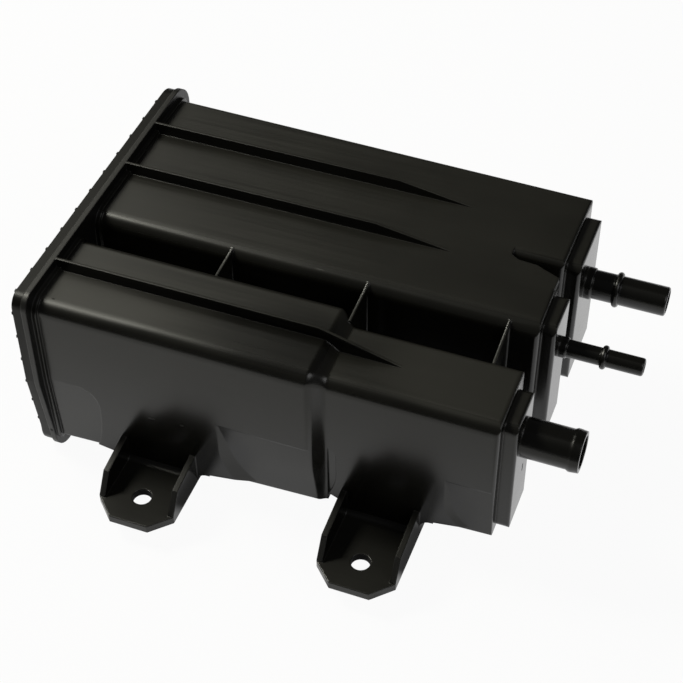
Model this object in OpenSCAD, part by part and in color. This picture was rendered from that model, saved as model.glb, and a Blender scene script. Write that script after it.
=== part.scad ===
// Charcoal canister for fuel vapour: one moulded body with three chambers, a welded end cover,
// carbon beds held between filter pads, perforated pressure plates and coil springs.
// Origin: midway between the two tab holes on the underside of the tabs. +X to the ports, +Z up.

/* [Chambers] */
// Length of the chambers from the flange collar to the port end
chamber_len = 241; // [236:1:246]
// Height of the chamber tops above the tab seats
chamber_top = 103; // [101:0.5:105]
// Rise of the chamber floor from the flange to the port end
floor_rise = 12; // [11:0.5:14]
// Height of the front chamber's floor at the flange
floor_start = 2.5; // [2:0.25:3]
// Drop of the rear and middle floors below the front floor
floor_drop = 4; // [3:0.5:5]
// Wall thickness of the moulding
wall = 2.5; // [2:0.1:3]
// Width of the rear chamber at the flange
rear_w = 56.4; // [54:0.4:57.2]
// Slant of the rear wall towards the port end, degrees
rear_draft = 0.86; // [0.5:0.02:0.96]
// Width of the middle chamber at the port end
middle_w = 39; // [37:0.5:41]
// Width of the shoulder between the middle and rear chambers at the flange
shoulder_w = 14.2; // [13.2:0.2:15.2]
// Length of the notch that parts the middle and rear port ends
notch_len = 28; // [26:0.5:30]
// Width left beside the rear chamber at the bottom of the notch
notch_w = 5.5; // [5:0.1:6]
// Width of the gap between the middle and front chambers
gap_w = 17.3; // [15.3:0.5:19.3]
// Width of the front chamber's large section
front_w = 54; // [52:0.5:56]
// Length of the front chamber's large section, to the middle of its step
front_large_len = 148.6; // [140:0.2:154]
// Inset of the front chamber's small section on its sides and top
front_inset = 5.6; // [4:0.2:6]
// Length of the curved step down to the small section
step_len = 10.2; // [8:0.2:12]
// Inward taper of the front wall below the parting line
wall_taper = 3; // [2:0.25:3.5]
// Height of the parting line above the tab seats
parting_z = 50; // [46:1:54]

/* [Edges] */
// Radius along the front top edges of the front and middle chambers
front_edge_r = 8; // [6:0.5:9]
// Radius along the other long top edges
top_edge_r = 4.5; // [3.5:0.25:5]
// Radius along the bottom edges
bottom_edge_r = 6; // [4:0.5:6.5]
// radius of the bottom edges of the front chamber
front_bottom_r = 1.8; // [1:0.1:3]
// Radius round the port end
end_edge_r = 2.6; // [2:0.2:3]

/* [Flange and cover] */
// Thickness of the body flange
flange_t = 3; // [2.5:0.1:4]
// Reach of the flange above the chamber tops
flange_up = 6.7; // [6:0.1:8]
// Reach of the flange in front of the front chamber
flange_front = 6; // [5:0.25:7]
// Reach of the flange behind the rear wall
flange_rear = 9.9; // [9:0.1:11]
// Depth of the flange below the tab seats
flange_down = 10.7; // [9:0.25:12]
// Radius of the flange's front top corner
flange_front_r = 8; // [7:0.25:9]
// Radius of the flange's rear top corner
flange_rear_r = 15.5; // [13:0.25:17]
// Radius of the flange's bottom corners
flange_down_r = 14; // [12:0.5:15]
// Thickness of the cover's rim
cover_t = 5.5; // [5:0.1:6.5]
// Depth of the plenum pocket inside the cover
plenum_depth = 1.8; // [1.5:0.1:2]
// Pitch of the waffle ribs
waffle_pitch = 16.5; // [15:0.25:18]
// Height of the waffle ribs above the rim
waffle_proud = 0.6; // [0.4:0.1:1]
// Length of the stepped collar where the chambers meet the flange
collar_len = 2.5; // [2:0.1:3]
// Step of that collar above the chamber walls
collar_step = 1.75; // [1:0.25:2]

/* [Ribs and webs] */
// Thickness of the top ribs
rib_t = 1.5; // [1.2:0.1:2]
// Distance from the collar to the knee of the ribs
rib_knee = 141; // [125:1:145]
// Distance from the collar to the foot of the ribs
rib_foot = 183; // [178:1:190]
// Distance from the last cross web to the port end
web_end_gap = 16; // [14:0.5:20]
// Thickness of the cross webs
web_t = 1.4; // [1.2:0.1:2]

/* [Ports] */
// Outside diameter of the rear spigot
rear_port_d = 15.79; // [15.5:0.05:16]
// Outside diameter of the middle spigot
middle_port_d = 9.49; // [9.3:0.05:9.7]
// Outside diameter of the front hose barb's stem
front_port_d = 20.5; // [19.5:0.1:21]
// Wall thickness of the spigots
port_wall = 1.7; // [1.5:0.1:2]
// Reach of the two spigots beyond the bosses
spigot_len = 44; // [42:0.5:48]
// Distance from the rear spigot's mouth back to its bead
rear_bead_in = 26.8; // [26:0.2:28]
// Distance from the middle spigot's mouth back to its bead
middle_bead_in = 20.8; // [20:0.2:22]
// Reach of the hose barb beyond its boss
barb_len = 29.4; // [27:0.2:32]
// Distance from the rear chamber's front wall to the rear spigot
rear_port_in = 20.5; // [19:0.25:22]
// Distance from the middle chamber's front wall to the middle spigot
middle_port_in = 19.7; // [18.5:0.1:20.5]
// Distance from the large section's front wall to the hose barb
front_port_in = 26.8; // [26:0.1:28]
// Height of the rear spigot above the tab seats
rear_port_z = 72.2; // [70:0.2:74]
// Height of the middle spigot above the tab seats
middle_port_z = 75.1; // [73:0.2:77]
// Height of the hose barb above the tab seats
front_port_z = 73.7; // [72:0.2:76]
// Thickness of the raised port bosses
boss_t = 7.3; // [6.5:0.1:8]
// Radius of the bosses' corners
boss_r = 5.5; // [4:0.25:7]
// Radius round the bosses' faces
boss_edge_r = 2; // [1.5:0.1:2.4]

/* [Mounting tabs] */
// Distance between the two tab holes
hole_spacing = 122; // [118:1:126]
// Distance from the collar to the first tab hole
first_hole = 60; // [58:0.5:62]
// Width of a tab
tab_w = 42.5; // [40:0.5:45]
// Reach of a tab in front of its hole
tab_reach = 17.5; // [16:0.25:20]
// Thickness of a tab's plate
tab_t = 4.6; // [4:0.1:5]
// Slant cut off a tab's front corners
tab_chamfer = 10.5; // [9:0.25:12]
// Thickness of a tab's side walls
tab_side_t = 3.2; // [2.8:0.1:4]
// Height of a tab's side walls at the body
tab_side_h = 20.5; // [18:0.5:22]
// Diameter of a tab hole
hole_d = 10.2; // [9.4:0.1:11]
// Distance from the holes to the large section's front wall
hole_to_wall = 23; // [21:0.25:25]

/* [Inside] */
// Thickness of the filter pads
filter_t = 4; // [3:0.25:5]
// Thickness of the pressure plates
plate_t = 3.5; // [3:0.1:4]
// Distance from the collar to the pressure plates
plate_start = 20; // [18:0.5:24]
// Clearance round the beds, pads and plates
bed_gap = 0.2; // [0.1:0.05:0.4]
// Diameter of the plate holes
plate_hole_d = 5; // [4:0.25:6]
// Pitch of the plate holes
plate_pitch = 12; // [11.5:0.25:13]
// Mean diameter of the coil springs
spring_d = 17; // [16:0.5:18]
// Wire diameter of the coil springs
wire_d = 1.6; // [1.4:0.1:1.8]
// Height of the lower springs above the tab seats
lower_spring_z = 26; // [25:0.5:27]
// Height of the upper springs above the tab seats
upper_spring_z = 76; // [75:0.5:78]
// Turns between the flat end turns of a spring
spring_turns = 4; // [3:1:6]

/* [Hidden] */
$fn = 48;

// lengthways positions
x_start = -hole_spacing / 2 - first_hole;
x_end = x_start + chamber_len;
x_step = x_start + front_large_len;
x_flange = x_start - collar_len;
x_seam = x_flange - flange_t;
x_cover = x_seam - cover_t;
x_boss = x_end + boss_t;
x_plenum = x_seam - plenum_depth;

// crossways positions, front to rear
y_front = hole_to_wall;
y_front_rear = y_front + front_w;
y_small_front = y_front + front_inset;
y_small_rear = y_front_rear - front_inset;
y_mid_front = y_front_rear + gap_w;
y_mid_rear = y_mid_front + middle_w;
y_rear_front = y_mid_rear + shoulder_w;
y_rear_end = y_rear_front + rear_w;
y_notch = y_rear_front - notch_w;
y_shoulder = y_mid_rear - bottom_edge_r - 3;

// the middle chamber is wide as far as this station, up to the rear chamber's front wall
x_notch = x_end - notch_len;
x_shared = x_notch - wall - 0.5;
y_shared = y_rear_front - (x_shared - x_start) * tan(rear_draft);

// heights
z_small = chamber_top - front_inset;
z_flange = chamber_top + flange_up;
z_floor_end = floor_start - floor_drop + floor_rise;
rise_angle = atan(floor_rise / chamber_len);

// profiles of the chamber ends as pairs of distance from the end and depth below the side
square_end = [[0, 0]];
port_end = [for (k = [0:4]) end_edge_r * [1 - sin(22.5 * k), 1 - cos(22.5 * k)]];
boss_end = [for (k = [0:4]) boss_edge_r * [1 - sin(22.5 * k), 1 - cos(22.5 * k)]];
step_depth = front_inset + 0.1;
step_end = [for (t = [0:0.125:1]) [step_len * (1 - t), step_depth * t * t * (3 - 2 * t)]];

// cross webs: pitch from the collar, depth of their ends in the walls, height of their feet
web_pitch = (chamber_len - web_end_gap) / 3;
web_bite = 1.2;
web_foot = 18;

// places of the top ribs behind the front walls
rear_rib_in = 22.5;
front_rib_in = 28;

// lean of the flange's front and rear edges below the parting line
flange_lean = [7.6, 1.5];

// port bosses: drop below the tops, then insets from the front wall, the rear wall and the floor
boss_drop = 4.2;
rear_boss_in = [0.5, 11.9, 4.5];
middle_boss_in = [5.6, 5.4, 7.5];
front_boss_in = [6.4, 7, 6.5];

// ports: root collars, bead radii, and the hose barb's lip measured from its mouth
root_step = 0.8;
root_len = 4.2;
rear_bead_r = 1.75;
middle_bead_r = 1.6;
lip_in = 4.3;
lip_step = 0.7;

// slit in the front boss: depth, width and height, and drop of its foot below the hose barb
slit_size = [1.2, 1.4, 5];
slit_drop = 28;

// roots of the tabs: reach under the floor, rounding on the plate, hollow corner at the right side
tab_root = 14;
tab_foot_r = 3.5;
gusset_r = 6.3;

// pads behind the tabs: reach left, reach right and top left corner, then their spread at the foot
first_pad = [32.3, 35.5, 12];
second_pad = [24, 34, 6];
pad_rise = 0.3;
pad_end_rise = 3.4;
pad_spread = 8;
pad_spread_z = 32;

// rise of the small section's floor above the large section's
small_rise = 1;

// a rectangle from the origin with its own radius at each corner, counter-clockwise from the origin
module soft_square(size, radii) {
    corners = [[0, 0], [size[0], 0], size, [0, size[1]]];
    inward = [[1, 1], [-1, 1], [-1, -1], [1, -1]];
    difference() {
        square(size);
        for (i = [0:3])
            if (radii[i] > 0)
                translate(corners[i] + inward[i] * radii[i] / 2)
                    square(radii[i] + 0.001, center = true);
    }
    for (i = [0:3])
        if (radii[i] > 0)
            translate(corners[i] + inward[i] * radii[i])
                circle(r = radii[i]);
}

// a profile in the opposite order
function backwards(profile) = [for (k = [len(profile) - 1:-1:0]) profile[k]];

// rectangle from the origin whose far end follows a profile on both sides
module end_plan(size, profile) {
    polygon(concat([[0, 0]],
        [for (p = profile) [size[0] - p[0], p[1]]],
        [for (p = backwards(profile)) [size[0] - p[0], size[1] - p[1]]],
        [[0, size[1]]]));
}

// rectangle from the origin whose far end follows a profile at its top only
module end_side(size, profile) {
    polygon(concat([[0, 0], [size[0], 0]],
        [for (p = backwards(profile)) [size[0] - p[0], size[1] - p[1]]],
        [[0, size[1]]]));
}

// rectangle from the origin with all four corners cut in short facets round the radius r
module facet_square(size, r) {
    polygon([for (i = [0:3])
        let (corner = [[0, 0], [size[0], 0], size, [0, size[1]]][i],
            inward = [[1, 1], [-1, 1], [-1, -1], [1, -1]][i])
        for (k = [0:6])
            let (a = 180 + 90 * i + 15 * k)
            corner + r * (inward + [cos(a), sin(a)])]);
}

// lower half of a section: flat top at z1, floor at z0, sides leaning in by d0 and d1, floor corners r
module tub_section(y0, y1, z0, z1, d0, d1, r) {
    t0 = atan(d0 / (z1 - z0));
    t1 = atan(d1 / (z1 - z0));
    c0 = [y0 + d0 + r * (1 - sin(t0)) / cos(t0), z0 + r];
    c1 = [y1 - d1 - r * (1 - sin(t1)) / cos(t1), z0 + r];
    polygon([[y0, z1], c0 - r * [cos(t0), sin(t0)], [c0[0], z0],
        [c1[0], z0], c1 + r * [cos(t1), -sin(t1)], [y1, z1]]);
    translate(c0)
        circle(r = r);
    translate(c1)
        circle(r = r);
}

// runs a section drawn in Y and Z along +X
module along_x(x0, len) {
    translate([x0, 0, 0])
        rotate([90, 0, 90])
            linear_extrude(len)
                children();
}

// runs a side view drawn in X and Z from y0 to y1
module along_y(y0, y1) {
    translate([0, y1, 0])
        rotate([90, 0, 0])
            linear_extrude(y1 - y0)
                children();
}

// long box with a sloping floor: rounded top and floor edges, and an end that follows a profile
module chamber(x0, x1, y0, y1, top, floor, taper, r_front, r_rear, r_floor, end) {
    intersection() {
        union() {
            along_x(x0, x1 - x0)
                translate([y0, parting_z])
                    soft_square([y1 - y0, top - parting_z], [0, 0, r_rear, r_front]);
            translate([x_start, 0, floor])
                rotate([0, -rise_angle, 0])
                    along_x(x0 - x_start - 12, x1 - x0 + 30)
                        tub_section(y0, y1, 0, parting_z - floor, taper, 0, r_floor);
        }
        translate([x0, y0, -20])
            linear_extrude(140)
                end_plan([x1 - x0, y1 - y0], end);
        along_y(y0, y1)
            translate([x0, -20])
                end_side([x1 - x0, top + 20], end);
    }
}

// turns the rear chamber by its draft about the foot of the rear wall
module rear_place() {
    translate([x_start, y_rear_end, 0])
        rotate([0, 0, -rear_draft])
            translate([-x_start, -y_rear_end, 0])
                children();
}

// rear chamber space grown by g from its outer faces, between two stations
module rear_space(x0, x1, g, end) {
    rear_place()
        chamber(x0, x1, y_rear_front - g, y_rear_end + g, chamber_top + g,
            floor_start - floor_drop - g, 0, top_edge_r + g, top_edge_r - 1 + g, bottom_edge_r + g, end);
}

// middle chamber space grown by g
module middle_space(x0, x1, g, end) {
    chamber(x0, x1, y_mid_front - g, y_mid_rear + g, chamber_top + g,
        floor_start - floor_drop - g, 0, front_edge_r + g, max(1, g + 1), bottom_edge_r + g, end);
}

// large section of the front chamber grown by g
module large_space(x0, x1, g, end) {
    chamber(x0, x1, y_front - g, y_front_rear + g, chamber_top + g,
        floor_start - g, wall_taper, front_edge_r + g, top_edge_r + g,
        max(0.8, front_bottom_r + g), end);
}

// small section of the front chamber grown by g
module small_space(x0, x1, g, end) {
    chamber(x0, x1, y_small_front - g, y_small_rear + g, z_small + g,
        floor_start + small_rise - g, wall_taper / 2, front_edge_r - 1 + g, top_edge_r - 0.5 + g,
        max(0.8, front_bottom_r + g), end);
}

// reach of a rounded top corner towards the angle a above level; inset and radius place the corner
function corner_reach(a, inset, r) = (inset + r) * (-cos(a) - sin(a)) + r;

// cuts that carry the large section's rounded top edge down the step to the small section's, at y on the side
// whose outward direction is side
module step_corner(y, side, r_large, r_small) {
    x0 = x_step - step_len / 2;
    for (a = [22.5, 45, 67.5]) {
        low = corner_reach(a, front_inset, r_small) - 0.1;
        high = corner_reach(a, 0, r_large) + 0.05;
        translate([0, y, chamber_top])
            rotate([-side * (90 - a), 0, 0])
                along_y(-60, 60)
                    polygon(concat([[x0 - 1, 30], [x0 - 1, high]],
                        [for (p = step_end) [x0 + step_len - p[0], high + (low - high) * p[1] / step_depth]],
                        [[x0 + step_len + 1, low], [x0 + step_len + 1, 30]]));
    }
}

// height of a floor that starts at f, at station x
function floor_at(f, x) = f + (x - x_start) * tan(rise_angle);

// everything above the sloping floor that starts at the height floor, over the shoulder's width
module above_floor(floor) {
    translate([x_start, 0, floor])
        rotate([0, -rise_angle, 0])
            along_x(-12, chamber_len + 30)
                translate([y_shoulder - 1, 0])
                    square([y_rear_front - y_shoulder + 8, chamber_top + 20]);
}

// shoulder that joins the middle and rear chambers and ends in a notch between their port ends
module shoulder() {
    intersection() {
        translate([0, 0, -20])
            linear_extrude(chamber_top + 20)
                polygon([[x_flange - 1, y_shoulder], [x_end - 1, y_shoulder], [x_end - 1, y_mid_rear],
                    [x_end - 5, y_mid_rear + 1.7], [x_end - 10, y_mid_rear + 3.7],
                    [x_end - 14, y_mid_rear + 5.6], [x_end - 24, y_mid_rear + 6.3],
                    [x_notch, y_notch], [x_notch - 0.6, y_notch + 1],
                    [x_notch - 0.6, y_rear_front + 5], [x_flange - 1, y_rear_front + 5]]);
        above_floor(floor_start - floor_drop);
    }
}

// stepped collar across the shoulder
module shoulder_collar() {
    intersection() {
        translate([x_flange - 1, y_shoulder, -20])
            cube([collar_len + 1, y_rear_front + 5 - y_shoulder, chamber_top + collar_step + 20]);
        above_floor(floor_start - floor_drop - collar_step);
    }
}

// inner space of each chamber between two stations, shrunk by the clearance g
module rear_inside(x0, x1, g) {
    rear_space(x0, x1, -wall - g, square_end);
}

module middle_inside(x0, x1, g) {
    if (x0 < x_shared)
        chamber(x0, min(x1, x_shared - g), y_mid_front + wall + g, y_shared - g, chamber_top - wall - g,
            floor_start - floor_drop + wall + g, 0, front_edge_r - wall - g, top_edge_r - wall - g,
            bottom_edge_r - wall - g, square_end);
    if (x1 > x_shared)
        middle_space(max(x0, x_shared - g - 1), x1, -wall - g, square_end);
}

module front_inside(x0, x1, g) {
    x_turn = x_step - step_len / 2 - wall / 2 - g;
    if (x0 < x_turn)
        large_space(x0, min(x1, x_turn), -wall - g, square_end);
    if (x1 > x_turn)
        small_space(max(x0, x_turn - 1), x1, -wall - g, square_end);
}

// outline of the flange, drawn in by an inset
module flange_outline(inset) {
    y0 = y_front - flange_front + inset;
    y1 = y_rear_end + flange_rear - inset;
    translate([y0, parting_z])
        soft_square([y1 - y0, z_flange - inset - parting_z],
            [0, 0, flange_rear_r - inset / 2, flange_front_r - inset / 2]);
    tub_section(y0, y1, inset - flange_down, parting_z, flange_lean[0], flange_lean[1],
        flange_down_r - inset / 2);
}

// flange plate and the stepped collar round the chambers
module flange() {
    along_x(x_seam, flange_t)
        flange_outline(0);
    rear_space(x_flange - 1, x_start, collar_step, square_end);
    middle_space(x_flange - 1, x_start, collar_step, square_end);
    large_space(x_flange - 1, x_start, collar_step, square_end);
    shoulder_collar();
}

// one top rib, its front face at y, running down to the height z_foot
module top_rib(y, x_foot, z_foot) {
    along_y(y, y + rib_t)
        polygon([[x_flange - 0.5, z_foot - 1], [x_flange - 0.5, z_flange], [x_start + rib_knee, z_flange],
            [x_foot, z_foot], [x_foot - 1, z_foot - 1]]);
}

// cross web in the gap at station x, sloping down to its front end
module cross_web(x, y0, z0) {
    along_x(x - web_t / 2, web_t)
        polygon([[y0 - web_bite, web_foot], [y_mid_front + web_bite, web_foot],
            [y_mid_front + web_bite, chamber_top - front_edge_r],
            [y_mid_front + 0.75 * front_edge_r, chamber_top - 1],
            [y0 - web_bite, z0]]);
}

// raised boss on a port end
module port_boss(y0, y1, z0, z1) {
    intersection() {
        along_x(x_end - 2, boss_t + 2)
            translate([y0, z0])
                facet_square([y1 - y0, z1 - z0], boss_r);
        translate([x_end - 2, y0, z0])
            linear_extrude(z1 - z0)
                end_plan([boss_t + 2, y1 - y0], boss_end);
        along_y(y0, y1)
            translate([x_end - 2, z0])
                end_plan([boss_t + 2, z1 - z0], boss_end);
    }
}

// space inside a port boss
module boss_space(y0, y1, z0, z1) {
    along_x(x_end - wall - 0.5, boss_t + 0.5)
        translate([y0 + wall, z0 + wall])
            soft_square([y1 - y0 - 2 * wall, z1 - z0 - 2 * wall], [3, 3, 3, 3]);
}

// shallow upright slit in the face of the front boss, below the hose barb
module boss_slit() {
    translate([x_boss - slit_size[0], front_port_y + 2, front_port_z - slit_drop])
        cube([slit_size[0] + 1, slit_size[1], slit_size[2]]);
}

// turns a profile of radius and length into a round part along +X from the boss face
module port_turning(y, z) {
    translate([x_boss, y, z])
        rotate([0, 90, 0])
            rotate_extrude()
                children();
}

// quick-connect spigot with its bead and root collar
module spigot(y, z, d, bead_x, bead_r) {
    r = d / 2;
    port_turning(y, z) {
        translate([0, -1])
            soft_square([r, spigot_len + 1], [0, 0, 1.3, 0]);
        translate([0, -1])
            soft_square([r + root_step, root_len + 1], [0, 0, root_step - 0.1, 0]);
        intersection() {
            translate([r, bead_x])
                circle(r = bead_r);
            translate([0.5, 0])
                square([2 * r, spigot_len]);
        }
    }
}

// hose barb with a raised lip at its mouth
module hose_barb(y, z) {
    r = front_port_d / 2;
    lip_x = barb_len - lip_in;
    port_turning(y, z) {
        translate([0, -1])
            square([r, barb_len + 1]);
        polygon([[0.5, lip_x - 1.9], [r, lip_x - 1.9], [r + lip_step, lip_x - 0.5],
            [r + lip_step, lip_x + 0.5], [r + 0.3, barb_len], [0.5, barb_len]]);
    }
}

// bore of a port from the boss space to its mouth
module port_bore(y, z, d, len) {
    translate([x_boss - wall - 1, y, z])
        rotate([0, 90, 0])
            cylinder(d = d - 2 * port_wall, h = len + wall + 2);
}

// mounting tab: pointed channel standing in front of the wall at y_wall, its root under the floor
module mounting_tab(xc, y_wall, floor) {
    half = tab_w / 2;
    y_tip = -tab_reach;
    root = y_wall + tab_root;
    translate([xc, 0, 0])
        linear_extrude(tab_t)
            polygon([[-half, root], [half, root], [half, y_tip + tab_chamfer], [half - tab_chamfer, y_tip],
                [tab_chamfer - half, y_tip], [-half, y_tip + tab_chamfer]]);
    for (x0 = [-half, half - tab_side_t])
        along_x(xc + x0, tab_side_t)
            polygon([[y_wall + 2, 0], [y_wall + 2, tab_side_h], [y_wall, tab_side_h], [0.5, tab_side_h - 3.5],
                [y_tip + tab_chamfer, tab_t + 0.6], [y_tip + tab_chamfer, 0]]);
    along_y(y_wall, root)
        polygon([[xc - half, 0], [xc + half, 0], [xc + half, floor_at(floor, xc + half) + 1.2],
            [xc - half, floor_at(floor, xc - half) + 1.2]]);
    along_x(xc - half, tab_w)
        difference() {
            translate([y_wall - tab_foot_r, tab_t - 0.5])
                square([tab_foot_r + 0.5, tab_foot_r + 0.5]);
            translate([y_wall - tab_foot_r, tab_t + tab_foot_r])
                circle(r = tab_foot_r);
        }
}

module tab_hole(xc) {
    translate([xc, 0, -1])
        cylinder(d = hole_d, h = tab_t + 2);
}

// upright pad behind a tab, flush with the wall above the parting line; pad holds its reach left and right of
// the hole and the radius of its top left corner
module tab_pad(xc, pad, y_wall, taper, floor) {
    half = tab_w / 2;
    xl = xc - pad[0];
    xr = xc + pad[1];
    corner = pad[2];
    z_left = floor_at(floor, xl) + pad_end_rise;
    z_right = floor_at(floor, xr) + pad_end_rise;
    z_spread = pad_spread_z - z_left;
    left_edge = concat(
        [for (k = [4:-1:0]) [xl + corner * (cos(22.5 * k) - 1), parting_z + corner * (sin(22.5 * k) - 1)]],
        [for (k = [0:4]) [xl - pad_spread / 2 * pow(k / 4, 2), pad_spread_z - z_spread * k / 4]]);
    right_edge = [for (k = [4:-1:0])
        [xr + pad_spread * pow(k / 4, 2), pad_spread_z - (pad_spread_z - z_right) * k / 4]];
    along_y(y_wall, y_wall + taper + bottom_edge_r)
        polygon(concat([[xl - corner, parting_z + 2]], left_edge,
            [[xc - half, floor_at(floor, xc - half) + pad_rise], [xc - half, tab_t - 0.5],
                [xc + half, tab_t - 0.5], [xc + half, floor_at(floor, xc + half) + pad_rise]],
            right_edge, [[xr, parting_z + 2]]));
}

// hollow corner between a tab's right side and the floor of the chamber
module tab_gusset(xc, y_wall, floor) {
    xs = xc + tab_w / 2;
    z = floor_at(floor, xs + gusset_r) + pad_rise;
    r = min(gusset_r, z - 0.4);
    along_y(y_wall, y_wall + tab_root)
        polygon(concat([[xs - 1, z + 1.2], [xs + r + 1, z + 1.2], [xs + r + 1, z]],
            [for (k = [0:6]) [xs + r * (1 - sin(15 * k)), z + r * (cos(15 * k) - 1)]],
            [[xs - 1, z - r]]));
}

// cross-section places of the port bosses: front, rear, bottom, top
rear_boss = [y_rear_front + rear_boss_in[0], y_rear_end - rear_boss_in[1],
    z_floor_end + rear_boss_in[2], chamber_top - boss_drop];
middle_boss = [y_mid_front + middle_boss_in[0], y_mid_rear - middle_boss_in[1],
    z_floor_end + middle_boss_in[2], chamber_top - boss_drop];
front_boss = [y_small_front + front_boss_in[0], y_small_rear - front_boss_in[1],
    z_floor_end + front_boss_in[2], z_small - boss_drop];
rear_port_y = y_rear_front + rear_port_in;
middle_port_y = y_mid_front + middle_port_in;
front_port_y = y_front + front_port_in;

module canister_body() {
    color("#1b1c1c")
        difference() {
            union() {
                rear_space(x_flange - 1, x_end, 0, port_end);
                middle_space(x_flange - 1, x_end, 0, port_end);
                shoulder();
                difference() {
                    large_space(x_flange - 1, x_step + step_len / 2, 0, step_end);
                    step_corner(y_front, -1, front_edge_r, front_edge_r - 1);
                    step_corner(y_front_rear, 1, top_edge_r, top_edge_r - 0.5);
                }
                small_space(x_step - step_len - wall, x_end, 0, port_end);
                flange();
                top_rib(y_rear_front + rear_rib_in, x_start + rib_foot, chamber_top);
                top_rib(y_mid_rear - 0.4, x_start + rib_foot, chamber_top);
                top_rib(y_front + front_rib_in, x_start + rib_foot + 1.5, z_small);
                cross_web(x_start + web_pitch, y_front_rear, chamber_top - 2);
                cross_web(x_start + 2 * web_pitch, y_small_rear, chamber_top - 3);
                cross_web(x_start + 3 * web_pitch, y_small_rear, z_small - 1);
                port_boss(rear_boss[0], rear_boss[1], rear_boss[2], rear_boss[3]);
                port_boss(middle_boss[0], middle_boss[1], middle_boss[2], middle_boss[3]);
                port_boss(front_boss[0], front_boss[1], front_boss[2], front_boss[3]);
                spigot(rear_port_y, rear_port_z, rear_port_d, spigot_len - rear_bead_in, rear_bead_r);
                spigot(middle_port_y, middle_port_z, middle_port_d, spigot_len - middle_bead_in,
                    middle_bead_r);
                hose_barb(front_port_y, front_port_z);
                tab_pad(-hole_spacing / 2, first_pad, y_front, wall_taper, floor_start);
                tab_pad(hole_spacing / 2, second_pad, y_small_front, wall_taper / 2,
                    floor_start + small_rise);
                tab_gusset(-hole_spacing / 2, y_front, floor_start);
                tab_gusset(hole_spacing / 2, y_small_front, floor_start + small_rise);
                mounting_tab(-hole_spacing / 2, y_front, floor_start);
                mounting_tab(hole_spacing / 2, y_small_front, floor_start + small_rise);
            }
            rear_inside(x_seam - 1, x_end - wall, 0);
            middle_inside(x_seam - 1, x_end - wall, 0);
            front_inside(x_seam - 1, x_end - wall, 0);
            boss_space(rear_boss[0], rear_boss[1], rear_boss[2], rear_boss[3]);
            boss_space(middle_boss[0], middle_boss[1], middle_boss[2], middle_boss[3]);
            boss_space(front_boss[0], front_boss[1], front_boss[2], front_boss[3]);
            port_bore(rear_port_y, rear_port_z, rear_port_d, spigot_len);
            port_bore(middle_port_y, middle_port_z, middle_port_d, spigot_len);
            port_bore(front_port_y, front_port_z, front_port_d, barb_len);
            boss_slit();
            tab_hole(-hole_spacing / 2);
            tab_hole(hole_spacing / 2);
        }
}

// pegs inside the springs, and the raised flat seats on the plates
peg_r = (spring_d - wire_d) / 2 - 0.5;
peg_len = 5;
seat_r = (spring_d + wire_d) / 2 + 0.4;
seat_rise = 0.8;

// places of the springs: across, and the two heights
rear_spring_y = y_rear_front + rear_w / 2;
middle_spring_y = (y_mid_front + y_shared) / 2;
front_spring_y = y_front + front_w / 2;
spring_z = [lower_spring_z, upper_spring_z];

// round disc or peg of radius r from station x0 to x1
module spring_disc(x0, x1, y, z, r) {
    translate([x0, y, z])
        rotate([0, 90, 0])
            cylinder(r = r, h = x1 - x0);
}

// cover: inset of its edge from the flange, width of its rim, depth of the dished face, waffle rib thickness
cover_inset = 1;
cover_rim = 4;
cover_dish = 1.5;
waffle_t = 1.6;
cover_skin = cover_t - plenum_depth - cover_dish;
plenum_in = 1.75;

// pocket inside the cover over the three chambers
module plenum() {
    along_x(x_plenum, plenum_depth + 1)
        translate([y_front + plenum_in, floor_start + 0.5])
            soft_square([y_rear_end - y_front - 2 * plenum_in, chamber_top - floor_start - 2], [6, 6, 4, 6]);
}

// upright and level ribs over the whole cover
module waffle() {
    for (y = [y_front + plenum_in:waffle_pitch:y_rear_end])
        translate([x_cover - 5, y - waffle_t / 2, -2 * flange_down])
            cube([10, waffle_t, z_flange + 2 * flange_down]);
    for (z = [-waffle_t:waffle_pitch:chamber_top])
        translate([x_cover - 5, 0, z])
            cube([10, y_rear_end + 2 * flange_rear, waffle_t]);
}

module end_cover() {
    color("#202121") {
        difference() {
            along_x(x_cover, cover_t)
                flange_outline(cover_inset);
            plenum();
            along_x(x_cover - 1, cover_dish + 1)
                flange_outline(cover_inset + cover_rim);
        }
        intersection() {
            along_x(x_cover - waffle_proud, waffle_proud + cover_dish + cover_skin / 2)
                flange_outline(cover_inset);
            waffle();
        }
        for (y = [rear_spring_y, middle_spring_y, front_spring_y])
            for (z = spring_z)
                spring_disc(x_plenum - cover_skin / 2, x_plenum + peg_len, y, z, peg_r);
    }
}

// stations along a chamber, from the cover to the ports
x_plate = x_start + plate_start;
x_pad = x_plate + plate_t;
x_bed = x_pad + filter_t;
x_bed_end = x_end - wall - filter_t;

module rear_carbon_bed() {
    color("#2b2b2a")
        rear_inside(x_bed, x_bed_end, bed_gap);
}

module middle_carbon_bed() {
    color("#2b2b2a")
        middle_inside(x_bed, x_bed_end, bed_gap);
}

module front_carbon_bed() {
    color("#2b2b2a")
        front_inside(x_bed, x_bed_end, bed_gap);
}

module rear_port_filter() {
    color("#d8d6cc")
        rear_inside(x_bed_end, x_end - wall, bed_gap);
}

module middle_port_filter() {
    color("#d8d6cc")
        middle_inside(x_bed_end, x_end - wall, bed_gap);
}

module front_port_filter() {
    color("#d8d6cc")
        front_inside(x_bed_end, x_end - wall, bed_gap);
}

module rear_cover_filter() {
    color("#8f8f89")
        rear_inside(x_pad, x_bed, bed_gap);
}

module middle_cover_filter() {
    color("#8f8f89")
        middle_inside(x_pad, x_bed, bed_gap);
}

module front_cover_filter() {
    color("#8f8f89")
        front_inside(x_pad, x_bed, bed_gap);
}

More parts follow.
